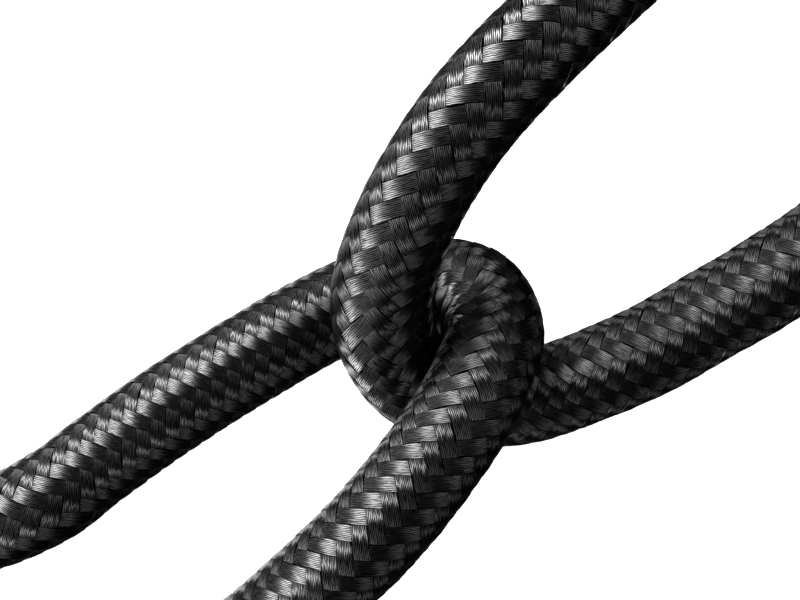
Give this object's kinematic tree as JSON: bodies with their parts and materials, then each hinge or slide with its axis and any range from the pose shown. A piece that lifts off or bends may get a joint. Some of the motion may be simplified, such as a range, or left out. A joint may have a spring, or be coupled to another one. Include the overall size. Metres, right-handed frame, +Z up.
{
  "type": "charging cable",
  "caption": "Braided charging cable with a reversible plug at each end, two bights clasped together and the spare length coiled in a tie.",
  "frame": {"origin": "midway between the two plugs, at the table they lie on", "axes": "+Z up from the table, +X along both plugs towards their strain reliefs, +Y towards the clasp"},
  "size_m": [0.1403, 0.0683, 0.0135],
  "materials": {
    "braid": "woven filament cover with a satin sheen",
    "tie": "hook-and-loop tape, fine loops",
    "sleeve_metal": "bead-blasted and anodised dark grey",
    "collar_plastic": "fine moulded grain",
    "mould_plastic": "plain moulding",
    "shell_steel": "drawn and plated, satin",
    "insulator": "smooth moulding",
    "contact_gold": "gold plated",
    "spring_steel": "stamped strip",
    "board": "solder mask",
    "chip": "moulded package",
    "resistor": "ceramic body with tinned ends",
    "power_wire": "smooth insulation",
    "signal_wire": "smooth insulation",
    "jacket": "smooth extruded skin",
    "ferrule": "crimped ring",
    "boot": "soft-touch moulding"
  },
  "bodies": {
    "cable": {"cable_near": "braid", "cable_far": "braid", "cable_coil": "braid", "tie_strap": "tie", "sleeve_a": "sleeve_metal", "nose_collar_a": "collar_plastic", "inner_mould_a": "mould_plastic", "plug_shell_a": "shell_steel", "contact_housing_a": "insulator", "upper_contacts_a": "contact_gold", "lower_contacts_a": "contact_gold", "ground_springs_a": "spring_steel", "circuit_board_a": "board", "marker_chip_a": "chip", "resistors_a": "resistor", "power_wires_a": "power_wire", "signal_wires_a": "signal_wire", "inner_jacket_a": "jacket", "braid_end_a": "braid", "crimp_ferrule_a": "ferrule", "strain_relief_a": "boot", "sleeve_b": "sleeve_metal", "nose_collar_b": "collar_plastic", "inner_mould_b": "mould_plastic", "plug_shell_b": "shell_steel", "contact_housing_b": "insulator", "upper_contacts_b": "contact_gold", "lower_contacts_b": "contact_gold", "ground_springs_b": "spring_steel", "circuit_board_b": "board", "marker_chip_b": "chip", "resistors_b": "resistor", "power_wires_b": "power_wire", "signal_wires_b": "signal_wire", "inner_jacket_b": "jacket", "braid_end_b": "braid", "crimp_ferrule_b": "ferrule", "strain_relief_b": "boot"},
    "tie_tab": {"tie_tab": "tie"},
    "latch_left_a": {"latch_left_a": "spring_steel"},
    "latch_right_a": {"latch_right_a": "spring_steel"},
    "latch_left_b": {"latch_left_b": "spring_steel"},
    "latch_right_b": {"latch_right_b": "spring_steel"}
  },
  "joints": [
    {"name": "tie_tab_hinge", "type": "hinge", "parent": "cable", "child": "tie_tab", "pos_m": [0.087, 0.0245, 0.01235], "axis": [0, 1, 0], "range_deg": [0, 120]},
    {"name": "latch_left_a_flex", "type": "hinge", "parent": "cable", "child": "latch_left_a", "pos_m": [-0.0432, 0.00172, 0.003], "axis": [0, 0, 1], "range_deg": [0, 2], "stiffness_Nm_per_rad": 0.02},
    {"name": "latch_right_a_flex", "type": "hinge", "parent": "cable", "child": "latch_right_a", "pos_m": [-0.0432, 0.00828, 0.003], "axis": [0, 0, 1], "range_deg": [-2, 0], "stiffness_Nm_per_rad": 0.02},
    {"name": "latch_left_b_flex", "type": "hinge", "parent": "cable", "child": "latch_left_b", "pos_m": [0.0208, -0.00828, 0.003], "axis": [0, 0, 1], "range_deg": [0, 2], "stiffness_Nm_per_rad": 0.02},
    {"name": "latch_right_b_flex", "type": "hinge", "parent": "cable", "child": "latch_right_b", "pos_m": [0.0208, -0.00172, 0.003], "axis": [0, 0, 1], "range_deg": [-2, 0], "stiffness_Nm_per_rad": 0.02}
  ]
}
